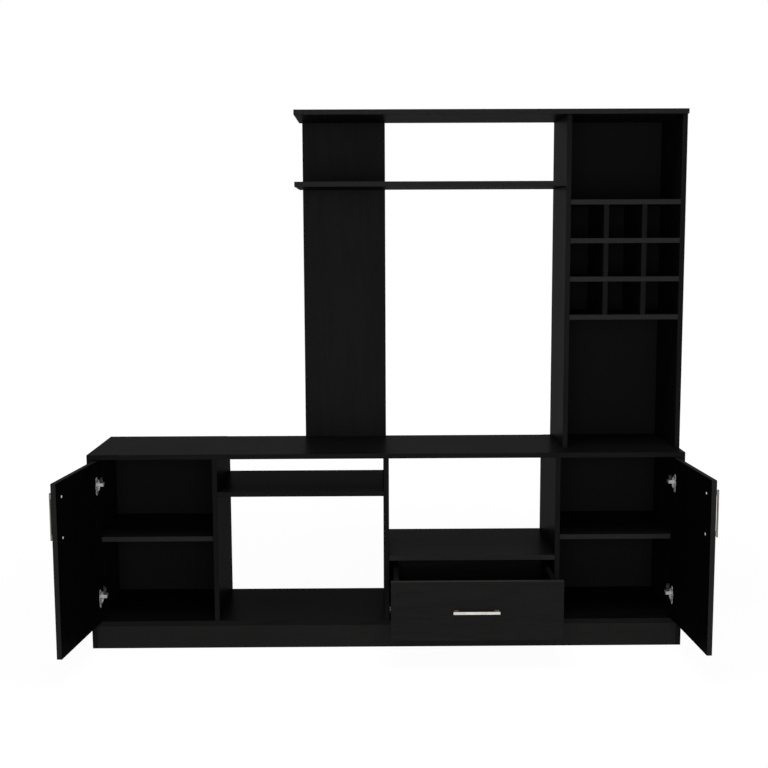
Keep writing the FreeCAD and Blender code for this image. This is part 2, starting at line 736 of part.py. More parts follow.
# Roller runners: a channel on each wall of the bay and a rail on each side of the drawer

TRACK = f"({BOX_LOW} + runner_lift)"
AXLE_Z = f"({TRACK} + roller_play + roller_radius)"
RAIL = f"({TRACK} + 2 * roller_play + 2 * roller_radius)"
ROOF = f"({RAIL} + runner_steel + runner_play)"
LIP = "(runner_space - runner_steel - runner_play)"
WEB = "(runner_space - runner_steel)"
CHANNEL = [
    ("0", f"{TRACK} - runner_steel"), (LIP, f"{TRACK} - runner_steel"), (LIP, TRACK), ("runner_steel", TRACK),
    ("runner_steel", ROOF), (LIP, ROOF), (LIP, f"{ROOF} + runner_steel"), ("0", f"{ROOF} + runner_steel"),
]
RAIL_SECTION = [
    (f"{WEB} - rail_lip", RAIL), (WEB, RAIL), (WEB, f"{BOX_LOW} - runner_steel"),
    ("runner_space + board - groove_depth", f"{BOX_LOW} - runner_steel"),
    ("runner_space + board - groove_depth", BOX_LOW), ("runner_space", BOX_LOW),
    ("runner_space", f"{RAIL} + runner_steel"), (f"{WEB} - rail_lip", f"{RAIL} + runner_steel"),
]
CHANNEL_Y = (f"{FRONT} + runner_setback", f"{FRONT} + runner_setback + runner_length")
FIXED_ROLLER_Y = f"{CHANNEL_Y[0]} + roller_inset"
RAIL_ROLLER_Y = f"{BOX_REAR} - roller_inset"
channels, rail_pieces, fixed_rollers, rail_rollers = [], [], [], []
for face, sign in (("(board / 2)", -1), (BAY, 1)):

    def off_wall(low, high, sign=sign, face=face):
        return inward(-sign, face, f"({low})", f"({high})")

    def runner(section, y, sign=sign, face=face):
        length = f"{y[1]} - ({y[0]})"
        piece = extruded([(at_side(sign, x), z) for x, z in section], "XZ_Plane", length)
        return place(piece, face, y[1])

    def roller(low, high, y):
        bore = rod("x", off_wall(low, high), y, AXLE_Z, "axle_radius + pin_play")
        return cut(rod("x", off_wall(low, high), y, AXLE_Z, "roller_radius"), bore)

    def axle(low, high, head, y):
        stem = rod("x", off_wall(low, high), y, AXLE_Z, "axle_radius")
        return stem, rod("x", off_wall(*head), y, AXLE_Z, "axle_radius + runner_steel")

    near = "runner_steel + roller_play"
    far = f"({near} + roller_width)"
    stop = (f"{far} + roller_play", f"{far} + roller_play + runner_steel / 2")
    channels.append(fuse(runner(CHANNEL, CHANNEL_Y), *axle("runner_steel / 2", stop[1], stop, FIXED_ROLLER_Y)))
    fixed_rollers.append(roller(near, far, FIXED_ROLLER_Y))
    high = f"({WEB} - roller_play)"
    low = f"({WEB} - roller_play - roller_width)"
    stop = (f"{low} - roller_play - runner_steel / 2", f"{low} - roller_play")
    rail_y = (BOX_FRONT, f"{BOX_FRONT} + runner_length")
    rail_axle = axle(stop[0], f"{WEB} + runner_steel / 2", stop, RAIL_ROLLER_Y)
    rail_pieces.append(fuse(runner(RAIL_SECTION, rail_y), *rail_axle))
    rail_rollers.append(roller(low, high, RAIL_ROLLER_Y))
group("bay_runners", channels)
group("bay_rollers", fixed_rollers)
group("drawer_runners", rail_pieces)
group("drawer_rollers", rail_rollers)

for name, blank in boards.items():
    node(name, blank)


# Check every piece, then write one file for each

doc.recompute()
broken = [item.Label for item in doc.Objects if "Invalid" in item.State or "Error" in item.State]
broken += [piece.Label for piece in NODES if piece.Shape.isNull() or not piece.Shape.isValid()]
broken += list(BORES)
if broken:
    raise RuntimeError("pieces that failed: " + ", ".join(broken))
os.makedirs("parts", exist_ok=True)
for piece in NODES:
    piece.Shape.exportStep(f"parts/{piece.Label}.step")
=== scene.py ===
import json
import math

import bmesh
import bpy
from mathutils import Matrix, Vector

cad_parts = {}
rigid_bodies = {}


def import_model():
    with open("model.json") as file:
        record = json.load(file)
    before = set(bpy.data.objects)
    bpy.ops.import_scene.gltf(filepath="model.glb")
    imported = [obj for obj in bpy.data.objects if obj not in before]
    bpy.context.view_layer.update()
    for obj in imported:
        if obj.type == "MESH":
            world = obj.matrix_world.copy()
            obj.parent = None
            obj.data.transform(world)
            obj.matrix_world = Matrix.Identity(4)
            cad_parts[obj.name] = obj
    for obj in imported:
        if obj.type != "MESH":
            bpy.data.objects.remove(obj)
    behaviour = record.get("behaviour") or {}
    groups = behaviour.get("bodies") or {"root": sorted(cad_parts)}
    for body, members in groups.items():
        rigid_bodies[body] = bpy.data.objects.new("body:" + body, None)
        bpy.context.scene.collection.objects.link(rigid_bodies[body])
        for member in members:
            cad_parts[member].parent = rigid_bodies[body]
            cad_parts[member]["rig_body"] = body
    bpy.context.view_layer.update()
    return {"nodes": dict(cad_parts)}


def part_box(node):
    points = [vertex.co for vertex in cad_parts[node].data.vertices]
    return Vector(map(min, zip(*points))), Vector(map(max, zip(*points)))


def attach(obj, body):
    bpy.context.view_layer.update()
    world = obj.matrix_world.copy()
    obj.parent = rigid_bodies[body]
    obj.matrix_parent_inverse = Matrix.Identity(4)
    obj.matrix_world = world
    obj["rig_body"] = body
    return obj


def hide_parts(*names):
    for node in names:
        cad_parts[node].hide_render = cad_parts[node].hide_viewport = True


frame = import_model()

# Black media wall unit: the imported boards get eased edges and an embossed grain, the hardware gets its
# recesses, rims and plating. Metres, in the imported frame: X right, Y to the rear, Z up, the front at -Y.

MM = 0.001
scene = bpy.context.scene


# Node graphs

class Link:
    """A socket whose arithmetic adds Math nodes to its graph."""

    def __init__(self, graph, socket):
        self.graph = graph
        self.socket = socket

    def out(self, name):
        return Link(self.graph, self.socket.node.outputs[name])

    def __add__(self, other):
        return self.graph.math("ADD", self, other)

    __radd__ = __add__

    def __sub__(self, other):
        return self.graph.math("SUBTRACT", self, other)

    def __rsub__(self, other):
        return self.graph.math("SUBTRACT", other, self)

    def __mul__(self, other):
        return self.graph.math("MULTIPLY", self, other)

    __rmul__ = __mul__

    def __truediv__(self, other):
        return self.graph.math("DIVIDE", self, other)

    def __rtruediv__(self, other):
        return self.graph.math("DIVIDE", other, self)

    def over(self, other):
        return self.graph.math("GREATER_THAN", self, other)

    def most(self, other):
        return self.graph.math("MAXIMUM", self, other)

    def clipped(self):
        return self.graph.node(
            "ShaderNodeMath", {"operation": "ADD", "use_clamp": True}, {0: self, 1: 0.0})


class Graph:
    """A node tree, filled by one method for any node and one for arithmetic."""

    def __init__(self, tree):
        self.tree = tree

    def node(self, kind, settings=None, sockets=None, output=0):
        made = self.tree.nodes.new(kind)
        for name, value in (settings or {}).items():
            setattr(made, name, value)
        for name, value in (sockets or {}).items():
            for each in value if isinstance(value, list) else [value]:
                self.feed(made.inputs[name], each)
        return Link(self, made.outputs[output]) if made.outputs else made

    def feed(self, socket, value):
        if isinstance(value, Link):
            self.tree.links.new(value.socket, socket)
        else:
            socket.default_value = value

    def math(self, operation, first, second):
        return self.node("ShaderNodeMath", {"operation": operation}, {0: first, 1: second})


ALONG_X = (0, 0, 0)
ALONG_Y = (0, 0, math.radians(-90))
ALONG_Z = (0, math.radians(90), 0)
EVEN = (1, 1, 1)
# A mixing node's colour sockets, by number: its sockets for plain numbers have the same names.
MIX_SHARE, MIX_FIRST, MIX_SECOND, MIX_RESULT = 0, 6, 7, 2


class Finish(Graph):
    """A material whose nodes end in one shader."""

    def __init__(self, name):
        self.material = bpy.data.materials.new(name)
        self.material.use_nodes = True
        super().__init__(self.material.node_tree)
        self.tree.nodes.clear()

    def place(self, stretch=EVEN, grain=ALONG_X):
        """Object coordinates, turned so that the grain lies along X, and then stretched."""
        spot = self.node("ShaderNodeTexCoord").out("Object")
        turned = self.node("ShaderNodeMapping", None, {"Vector": spot, "Rotation": grain})
        return self.node("ShaderNodeVectorMath", {"operation": "MULTIPLY"}, {0: turned, 1: stretch})

    def facing(self, way):
        """How nearly the surface faces a way, from -1 to 1."""
        normal = self.node("ShaderNodeTexCoord").out("Normal")
        return self.node("ShaderNodeVectorMath", {"operation": "DOT_PRODUCT"}, {0: normal, 1: way}, "Value")

    def noise(self, vector, scale=1.0, detail=2.0, rough=0.5, bend=0.0):
        return self.node("ShaderNodeTexNoise", None, {
            "Vector": vector, "Scale": scale, "Detail": detail, "Roughness": rough, "Distortion": bend})

    def span(self, value, low, high, first=0.0, last=1.0):
        """Takes values from low to high onto first to last, held at both ends."""
        return self.node("ShaderNodeMapRange", {"clamp": True}, {
            "Value": value, "From Min": low, "From Max": high, "To Min": first, "To Max": last})

    def blend(self, share, first, second):
        """A mix of two colours, each a link or three numbers."""
        first, second = (each if isinstance(each, Link) else (*each, 1.0) for each in (first, second))
        return self.node("ShaderNodeMix", {"data_type": "RGBA"}, {
            MIX_SHARE: share, MIX_FIRST: first, MIX_SECOND: second}, MIX_RESULT)

    def bump(self, height, distance):
        return self.node("ShaderNodeBump", None, {"Height": height, "Distance": distance})

    def surface(self, **sockets):
        named = {name.replace("_", " "): value for name, value in sockets.items()}
        return self.node("ShaderNodeBsdfPrincipled", None, named)

    def done(self, shader):
        self.node("ShaderNodeOutputMaterial", None, {"Surface": shader})
        return self.material


# Finishes. Stretches are waves to the metre along the grain and across it; bumps are depths in metres.

FIGURE = (0.9, 9, 9)
FIBRES = (7, 420, 420)
PORES = (24, 1500, 1500)
FIGURE_RINGS = 46.0
BLACK = (0, 0, 0)
PORE_FILM = (0.0028, 0.0027, 0.0027)
DEEP_FILM = (0.0036, 0.0035, 0.0034)
LIT_FILM = (0.0067, 0.0065, 0.0064)
# Lighter films that paint light on faces turned toward the lamps, and on the drawer front's top arris.
LIT_BAND_FILM = (0.0140, 0.0137, 0.0133)
LIT_BAND_TOP = (0.0260, 0.0254, 0.0247)
FILM_RELIEF = 0.06 * MM
# Faces painted as lit: a way, and how nearly a face turns that way where the painted light starts and where
# it is full.
LIT_FRONT_FACES = ((0, -1, 0), 0.6, 0.9)
LIT_TOP_AND_FRONT = ((0, -0.3, 0.954), 0.2, 0.9)


def black_melamine(name, grain, lit_band=0.0, share=1.0, lit_faces=LIT_FRONT_FACES, pale=LIT_BAND_FILM):
    """Satin black board film with an embossed wood grain along one axis.

    The faces turned toward the lamps are painted lighter, blended toward a lighter film by the given
    amount; the others keep a share of the usual tone and gloss, so that a share below 1 paints shade on
    them and one above 1 paints light.
    """
    film = Finish(name)
    toward, start, full = lit_faces
    show = film.span(film.facing(toward), start, full)
    # Painted shade and light: faces not turned toward the lamps get only a share of the tone and gloss.
    shading_and_gloss = show * (1.0 - share) + share
    figure = film.noise(film.place(FIGURE, grain), detail=3.0, rough=0.55, bend=0.6)
    rings = film.node("ShaderNodeMath", {"operation": "SINE"}, {0: figure * FIGURE_RINGS})
    fibres = film.noise(film.place(FIBRES, grain), detail=3.0, rough=0.6)
    pits = film.span(film.noise(film.place(PORES, grain)), 0.60, 0.70)
    wear = film.noise(film.place(), scale=7.0, detail=3.0)
    tone = film.span(fibres * 0.65 + rings * 0.08 + figure * 0.3, 0.28, 0.72)
    dark = film.blend(tone, DEEP_FILM, LIT_FILM)
    # Painted light: faces turned toward the lamps are blended toward a lighter film.
    lit_tone = film.blend(show * lit_band, dark, pale)
    pitted = film.blend(pits * 0.5, lit_tone, PORE_FILM)
    sheen = film.span(fibres + wear * 0.5, 0.45, 1.05, 0.062, 0.046)
    height = fibres * 0.5 + rings * 0.05 - pits
    shader = film.surface(
        Base_Color=film.blend(shading_and_gloss, BLACK, pitted), Roughness=0.9, Specular_IOR_Level=0.0,
        Coat_Weight=(sheen - pits * 0.012) * shading_and_gloss, Coat_Roughness=0.34,
        Normal=film.bump(height, FILM_RELIEF))
    return film.done(shader)


def back_board(name):
    """Thin hardboard: a black printed face, and bare brown fibres behind."""
    sheet = Finish(name)
    behind = sheet.span(sheet.facing((0, 1, 0)), 0.5, 0.6)
    fuzz = sheet.noise(sheet.place(), scale=900.0, detail=3.0, rough=0.65)
    mesh = sheet.noise(sheet.place((300, 300, 300)), detail=1.0)
    blotch = sheet.noise(sheet.place(), scale=6.0, detail=3.0)
    front = sheet.blend(fuzz, (0.0038, 0.0037, 0.0036), (0.0066, 0.0064, 0.0063))
    bare = sheet.blend(fuzz * 0.6 + blotch * 0.4, (0.075, 0.042, 0.021), (0.17, 0.105, 0.058))
    rough = sheet.span(fuzz + behind * 0.5, 0.3, 1.2, 0.7, 0.9)
    shader = sheet.surface(
        Base_Color=sheet.blend(behind, front, bare), Roughness=rough,
        Normal=sheet.bump(fuzz * 0.4 + mesh, 0.08 * MM), Specular_IOR_Level=0.03)
    return sheet.done(shader)


def plated(name, pale, deep):
    """Nickel plating: a fine tumbled texture, with a soft cloud of wear."""
    metal = Finish(name)
    brush = metal.noise(metal.place((700, 700, 700)), detail=3.0, rough=0.6)
    cloud = metal.noise(metal.place(), scale=55.0, detail=3.0)
    specks = metal.span(metal.noise(metal.place(), scale=900.0, detail=1.0), 0.66, 0.75)
    colour = metal.blend(metal.span(cloud + brush * 0.5, 0.5, 1.0), deep, pale)
    gloss = metal.span(brush * 0.7 + cloud * 0.3, 0.3, 0.7, 0.32, 0.48)
    shader = metal.surface(
        Base_Color=colour, Metallic=0.8, Roughness=(gloss + specks * 0.12).clipped(),
        Normal=metal.bump(brush - specks * 0.4, 0.01 * MM))
    return metal.done(shader)


def handle_nickel(name, grain, outward):
    """Satin nickel, brushed: the face away from the board is painted light, and the sides are painted in a
    browner shade.
    """
    metal = Finish(name)
    face = metal.span(metal.facing(outward), 0.55, 0.85)
    brush = metal.noise(metal.place((40, 2600, 2600), grain), detail=3.0, rough=0.6)
    cloud = metal.noise(metal.place(), scale=55.0, detail=3.0)
    shade = metal.span(cloud + brush * 0.5, 0.5, 1.0)
    # Painted light on the outward face and painted shade on the sides.
    lit_face = metal.blend(shade, (0.64, 0.61, 0.56), (0.80, 0.77, 0.72))
    shaded_sides = metal.blend(shade, (0.20, 0.175, 0.155), (0.29, 0.26, 0.235))
    gloss = metal.span(brush * 0.7 + cloud * 0.3 - face * 0.6, -0.3, 0.7, 0.24, 0.46)
    shader = metal.surface(
        Base_Color=metal.blend(face, shaded_sides, lit_face), Metallic=face * 0.5 + 0.5, Roughness=gloss,
        Normal=metal.bump(brush, 0.01 * MM))
    return metal.done(shader)


def runner_enamel(name):
    """Black powder coat with a fine orange peel, rubbed along the tracks."""
    coat = Finish(name)
    peel = coat.noise(coat.place(), scale=850.0)
    rubbed = coat.noise(coat.place((30, 6, 200)), detail=3.0)
    colour = coat.blend(coat.span(rubbed, 0.5, 0.75), (0.018, 0.018, 0.019), (0.034, 0.033, 0.032))
    shader = coat.surface(
        Base_Color=colour, Roughness=coat.span(rubbed + peel * 0.4, 0.4, 1.0, 0.32, 0.52),
        Normal=coat.bump(peel, 0.03 * MM), Specular_IOR_Level=0.4)
    return coat.done(shader)


def moulded_nylon(name):
    """White nylon, a little yellowed, with a faint moulding texture."""
    nylon = Finish(name)
    grain = nylon.noise(nylon.place(), scale=1400.0)
    cloud = nylon.noise(nylon.place(), scale=120.0)
    shader = nylon.surface(
        Base_Color=nylon.blend(cloud, (0.52, 0.51, 0.47), (0.64, 0.63, 0.60)),
        Roughness=nylon.span(grain, 0.3, 0.7, 0.4, 0.55), Normal=nylon.bump(grain, 0.02 * MM))
    return nylon.done(shader)


def beech_wood(name):
    """Bare beech with short flecks along the dowel."""
    beech = Finish(name)
    fibres = beech.noise(beech.place((40, 1200, 1200), ALONG_Z), detail=3.0, rough=0.6)
    flecks = beech.span(beech.noise(beech.place((260, 1600, 1600), ALONG_Z), detail=1.0), 0.6, 0.68)
    wood = beech.blend(fibres, (0.46, 0.29, 0.16), (0.64, 0.46, 0.29))
    shader = beech.surface(
        Base_Color=beech.blend(flecks * 0.7, wood, (0.33, 0.19, 0.10)),
        Roughness=beech.span(fibres, 0.3, 0.7, 0.55, 0.75),
        Normal=beech.bump(fibres - flecks, 0.04 * MM))
    return beech.done(shader)


DOOR_TURN = {"left": math.radians(-96.3), "right": math.radians(93.3)}
# Painted light and shade: faces turned toward the lamps are painted lighter by the amounts given here, and
# a share below 1 paints the other faces darker; the tower side's share of 1.25 paints them lighter.
MELAMINE = {
    "along width": black_melamine("melamine_along_width", ALONG_X),
    "along depth": black_melamine("melamine_along_depth", ALONG_Y, lit_band=0.2),
    "along height": black_melamine("melamine_along_height", ALONG_Z),
    "open bay": black_melamine("melamine_open_bay", ALONG_X, share=0.65),
    "left partition": black_melamine("melamine_left_partition", ALONG_Z, share=0.6),
    "tower side": black_melamine("melamine_tower_side", ALONG_Z, lit_band=0.05, share=1.25),
    "hutch edge": black_melamine("melamine_hutch_edge", ALONG_X, lit_band=0.7),
    "plinth": black_melamine("melamine_plinth", ALONG_X, lit_band=0.5),
    "panel": black_melamine("melamine_panel", ALONG_Z, lit_band=0.15),
    "painted lit edge": black_melamine("melamine_with_pale_edge", ALONG_X, lit_band=1.0),
    "drawer front": black_melamine(
        "melamine_drawer_front", ALONG_X, lit_band=1.1, lit_faces=LIT_TOP_AND_FRONT, pale=LIT_BAND_TOP),
}
HANDLE = {"drawer": handle_nickel("drawer_handle_nickel", ALONG_X, (0, -1, 0))}
for side, angle in DOOR_TURN.items():
    outward = (math.sin(angle), -math.cos(angle), 0)
    # The doors' inner faces are painted in shade at a share of 0.35, and their edges and outer faces are
    # painted lighter.
    MELAMINE[side + " door"] = black_melamine(
        f"melamine_{side}_door", ALONG_Z, lit_band=0.75, share=0.35, lit_faces=(outward, -0.5, -0.1))
    HANDLE[side + "_door"] = handle_nickel(f"{side}_handle_nickel", ALONG_Z, outward)
HARDBOARD = back_board("black_faced_hardboard")
STEEL = plated("nickel_plated_steel", (0.80, 0.80, 0.79), (0.62, 0.62, 0.61))
# Darker copies of the same nickel plating paint shade on the hinge parts inside the cupboards: the cups,
# the arms, and darkest the plates.
CUP_STEEL_SHADED = plated("cup_nickel", (0.62, 0.62, 0.61), (0.48, 0.48, 0.47))
HINGE_STEEL_SHADED = plated("hinge_nickel", (0.42, 0.42, 0.41), (0.30, 0.30, 0.29))
PLATE_STEEL_DEEP_SHADE = plated("dull_plate_nickel", (0.14, 0.14, 0.135), (0.09, 0.09, 0.088))
ENAMEL = runner_enamel("runner_powder_coat")
NYLON = moulded_nylon("roller_nylon")
BEECH = beech_wood("dowel_beech")


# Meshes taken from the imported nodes

WELD = 0.002 * MM
FLAT_ENOUGH = math.radians(0.5)
ARRIS_TURN = math.radians(40)


def node_shape(name):
    """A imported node's own shape, with its triangles joined up."""
    shape = bmesh.new()
    shape.from_mesh(frame["nodes"][name].data)
    bmesh.ops.remove_doubles(shape, verts=shape.verts, dist=WELD)
    return shape


def node_solids(name):
    """The corners of each separate solid in a node."""
    shape = node_shape(name)
    found = set()
    solids = []
    for start in shape.verts:
        if start in found:
            continue
        found.add(start)
        waiting = [start]
        corners = []
        while waiting:
            corner = waiting.pop()
            corners.append(corner.co.copy())
            for edge in corner.link_edges:
                other = edge.other_vert(corner)
                if other not in found:
                    found.add(other)
                    waiting.append(other)
        solids.append(corners)
    shape.free()
    return solids


def extent(corners):
    """The lowest and the highest place of a solid's corners on each axis."""
    low = Vector([min(corner[axis] for corner in corners) for axis in range(3)])
    high = Vector([max(corner[axis] for corner in corners) for axis in range(3)])
    return low, high


def finished(name, shape, finish, smooth=None):
    """Makes a piece of a finished shape, with its place in its mesh."""
    mesh = bpy.data.meshes.new(name)
    shape.to_mesh(mesh)
    shape.free()
    return piece_of(name, mesh, finish, smooth)


def piece_of(name, mesh, finish, smooth=None):
    """A piece of one finish, shaded smooth over turns below an angle in degrees."""
    mesh.materials.clear()
    mesh.materials.append(finish)
    if smooth is not None:
        mesh.polygons.foreach_set("use_smooth", [True] * len(mesh.polygons))
        mesh.set_sharp_from_angle(angle=math.radians(smooth))
    piece = bpy.data.objects.new(name, mesh)
    scene.collection.objects.link(piece)
    return piece


def stand_for(piece, slot, *nodes):
    """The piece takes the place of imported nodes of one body."""
    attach(piece, frame["nodes"][nodes[0]]["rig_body"])
    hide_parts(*nodes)


def eased(name, finish, slot, width, shortest, segments=2, smooth=None):
    """A node whose outer arrises, if longer than the shortest, are rounded over."""
    shape = node_shape(name)
    bmesh.ops.dissolve_limit(
        shape, angle_limit=FLAT_ENOUGH, use_dissolve_boundaries=False, verts=shape.verts, edges=shape.edges)
    arrises = [
        edge for edge in shape.edges
        if len(edge.link_faces) == 2 and edge.is_convex
        and edge.calc_face_angle() > ARRIS_TURN and edge.calc_length() > shortest]
    bmesh.ops.bevel(
        shape, geom=arrises, offset=width, offset_type="OFFSET", segments=segments, profile=0.5,
        affect="EDGES", clamp_overlap=False)
    stand_for(finished("eased_" + name, shape, finish, smooth), slot, name)


def repaint(name, finish):
    """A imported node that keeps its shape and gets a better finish."""
    node = frame["nodes"][name]
    if not node.material_slots:
        node.data.materials.append(finish)
    for slot in node.material_slots:
        slot.link = "OBJECT"
        slot.material = finish


# Boards: machine-eased arrises under the film

BOARDS = {
    "along width": ["base_top", "plinth_rear", "drawer_back"],
    "open bay": ["base_bottom", "media_shelf"],
    "left partition": ["left_partition"],
    "tower side": ["tower_left_side"],
    "hutch edge": ["hutch_top", "hutch_shelf"],
    "plinth": ["plinth_front"],
    "panel": ["hutch_panel"],
    "along depth": ["plinth_cross_rails", "drawer_left_side", "drawer_right_side"],
    "along height": ["base_left_side", "base_right_side", "centre_partition", "right_partition",
                     "tower_right_side", "rack_left_divider", "rack_right_divider"],
    "painted lit edge": ["drawer_bay_shelf", "left_cupboard_shelf", "right_cupboard_shelf", "rack_top_board",
                  "rack_upper_board", "rack_lower_board", "rack_bottom_board"],
    "drawer front": ["drawer_front"],
    "left door": ["left_door"],
    "right door": ["right_door"],
}
SHEETS = ["left_cupboard_back", "right_cupboard_back", "drawer_bay_back", "tower_back", "drawer_bottom"]
BOARD_EASE, SHEET_EASE = 0.7 * MM, 0.3 * MM
BOARD_ARRIS = 13 * MM
for film, names in BOARDS.items():
    for name in names:
        eased(name, MELAMINE[film], "black_melamine", BOARD_EASE, BOARD_ARRIS)
for name in SHEETS:
    eased(name, HARDBOARD, "black_melamine", SHEET_EASE, BOARD_ARRIS, segments=1)


# Handles and hinges get rolled edges; pins, bolts, runners and dowels keep their packed forms

HANDLE_EASE, HANDLE_ARRIS = 0.8 * MM, 3.0 * MM
HINGE_EASE, HINGE_ARRIS = 0.2 * MM, 2.0 * MM
HINGES = {
    "left_hinge_cups": CUP_STEEL_SHADED, "right_hinge_cups": CUP_STEEL_SHADED, "hinge_arms": HINGE_STEEL_SHADED,
    "hinge_plates": PLATE_STEEL_DEEP_SHADE}
for holder, finish in HANDLE.items():
    eased(holder + "_handle", finish, "handle_nickel", HANDLE_EASE, HANDLE_ARRIS, segments=3, smooth=35)
for name, finish in HINGES.items():
    eased(name, finish, "hardware_steel", HINGE_EASE, HINGE_ARRIS, smooth=35)
for name in ("left_hinge_pins", "right_hinge_pins", "cam_bolts"):
    repaint(name, STEEL)
for name in ("bay_runners", "drawer_runners"):
    repaint(name, ENAMEL)
repaint("hutch_dowels", BEECH)


# Fasteners by Geometry Nodes, one mesh for each set

HEAD_FLATS, SHANK_FLATS, CAM_FLATS, PEG_FLATS = 28, 14, 36, 22


class Build(Graph):
    """A geometry tree with named sizes, run on a mesh of points."""

    def __init__(self, name, sizes):
        super().__init__(bpy.data.node_groups.new(name, "GeometryNodeTree"))
        self.sockets = {}
        interface = self.tree.interface
        interface.new_socket("Geometry", in_out="INPUT", socket_type="NodeSocketGeometry")
        for size in sizes:
            made = interface.new_socket(size, in_out="INPUT", socket_type="NodeSocketFloat")
            self.sockets[size] = made.identifier
        made = interface.new_socket("Finish", in_out="INPUT", socket_type="NodeSocketMaterial")
        self.sockets["Finish"] = made.identifier
        interface.new_socket("Geometry", in_out="OUTPUT", socket_type="NodeSocketGeometry")
        self.given = self.node("NodeGroupInput")

    def size(self, name):
        return self.given.out(name)

    def vector(self, x=0.0, y=0.0, z=0.0):
        return self.node("ShaderNodeCombineXYZ", None, {"X": x, "Y": y, "Z": z})

    def moved(self, shape, shift):
        return self.node("GeometryNodeTransform", None, {"Geometry": shape, "Translation": shift})

    def round_bar(self, flats, radius, low, high, rings=1):
        """A bar along Z; its ends are fans of so many rings."""
        bar = self.node("GeometryNodeMeshCylinder", {"fill_type": "TRIANGLE_FAN"}, {
            "Vertices": flats, "Fill Segments": rings, "Radius": radius, "Depth": high - low})
        return self.moved(bar, self.vector(z=(high + low) * 0.5))

    def slab(self, x, y, z):
        return self.node("GeometryNodeMeshCube", None, {"Size": self.vector(x, y, z)})

    def crowned(self, shape, radius, base, rise):
        """Lowers the top of a round bar towards its rim."""
        place = self.node("ShaderNodeSeparateXYZ", None, {"Vector": self.node("GeometryNodeInputPosition")})
        x, y, z = place.out("X"), place.out("Y"), place.out("Z")
        share = (x * x + y * y) / (radius * radius)
        drop = -1.0 * share * rise
        return self.node("GeometryNodeSetPosition", None, {
            "Geometry": shape, "Selection": z.over(base), "Offset": self.vector(z=drop)})

    def recessed(self, shape, *tools):
        return self.node("GeometryNodeMeshBoolean", {"operation": "DIFFERENCE", "solver": "EXACT"}, {
            "Mesh 1": shape, "Mesh 2": list(tools)})

    def joined(self, *shapes):
        return self.node("GeometryNodeJoinGeometry", None, {"Geometry": list(reversed(shapes))})

    def end(self, shape):
        """Stands the shape on every point, aimed and turned by the points' own attributes."""
        aim = self.node("GeometryNodeInputNamedAttribute", {"data_type": "FLOAT_VECTOR"}, {"Name": "aim"})
        turn = self.node("GeometryNodeInputNamedAttribute", {"data_type": "FLOAT"}, {"Name": "turn"})
        facing = self.node("FunctionNodeAlignRotationToVector", {"axis": "Z"}, {"Vector": aim})
        twist = self.node("FunctionNodeAxisAngleToRotation", None, {"Axis": (0, 0, 1), "Angle": turn})
        rotation = self.node("FunctionNodeRotateRotation", {"rotation_space": "LOCAL"}, {
            "Rotation": facing, "Rotate By": twist})
        placed = self.node("GeometryNodeInstanceOnPoints", None, {
            "Points": self.given, "Instance": shape, "Rotation": rotation})
        real = self.node("GeometryNodeRealizeInstances", None, {"Geometry": placed})
        painted = self.node("GeometryNodeSetMaterial", None, {
            "Geometry": real, "Material": self.size("Finish")})
        self.node("NodeGroupOutput", None, {"Geometry": painted})
        return self

    def run(self, name, spots, finish, sizes):
        """A plain piece: the tree's mesh on spots of (place, aim, turn), with sizes in millimetres."""
        points = bpy.data.meshes.new(name + "_points")
        points.from_pydata([spot for spot, aim, turn in spots], [], [])
        points.attributes.new("aim", "FLOAT_VECTOR", "POINT")
        points.attributes.new("turn", "FLOAT", "POINT")
        for index, (spot, aim, turn) in enumerate(spots):
            points.attributes["aim"].data[index].vector = aim
            points.attributes["turn"].data[index].value = turn
        holder = bpy.data.objects.new(name + "_holder", points)
        scene.collection.objects.link(holder)
        modifier = holder.modifiers.new("build", "NODES")
        modifier.node_group = self.tree
        for size, value in sizes.items():
            modifier[self.sockets[size]] = value * MM
        modifier[self.sockets["Finish"]] = finish
        seen = holder.evaluated_get(bpy.context.evaluated_depsgraph_get())
        mesh = bpy.data.meshes.new_from_object(seen)
        mesh.name = name
        bpy.data.objects.remove(holder)
        bpy.data.meshes.remove(points)
        return piece_of(name, mesh, finish, smooth=30)


def cross_screw():
    """A crowned screw head with a cross recess, on its shank; the origin is where the head starts."""
    names = ("Head Radius", "Head Height", "Crown", "Recess Reach", "Recess Width", "Recess Depth",
             "Shank Radius", "Shank Length")
    tree = Build("cross_recess_screw", names)
    radius, height, crown, reach, width, depth, shank, length = (tree.size(name) for name in names)
    head = tree.crowned(
        tree.round_bar(HEAD_FLATS, radius, 0.0, height, rings=5), radius, height * 0.5, crown)
    top = tree.vector(z=height)
    first = tree.moved(tree.slab(reach * 2.0, width, depth * 2.0), top)
    second = tree.moved(tree.slab(width, reach * 2.0, depth * 2.0), top)
    stem = tree.round_bar(SHANK_FLATS, shank, -1.0 * length, height * 0.1)
    return tree.end(tree.joined(tree.recessed(head, first, second), stem))


def cam_disc():
    """A cam: a drum with a cross recess and an arrow; the origin is on its open face."""
    names = ("Radius", "Depth", "Recess Reach", "Recess Width", "Recess Depth", "Mark")
    tree = Build("cam_disc", names)
    radius, drum, reach, width, depth, mark = (tree.size(name) for name in names)
    body = tree.round_bar(CAM_FLATS, radius, -1.0 * drum, 0.0)
    first = tree.slab(reach * 2.0, width, depth * 2.0)
    second = tree.slab(width, reach * 2.0, depth * 2.0)
    arrow = tree.moved(
        tree.node("GeometryNodeMeshCone", None, {
            "Vertices": 3, "Radius Top": mark, "Radius Bottom": mark, "Depth": mark}),
        tree.vector(x=radius * 0.78, z=mark * -0.35))
    return tree.end(tree.recessed(body, first, second, arrow))


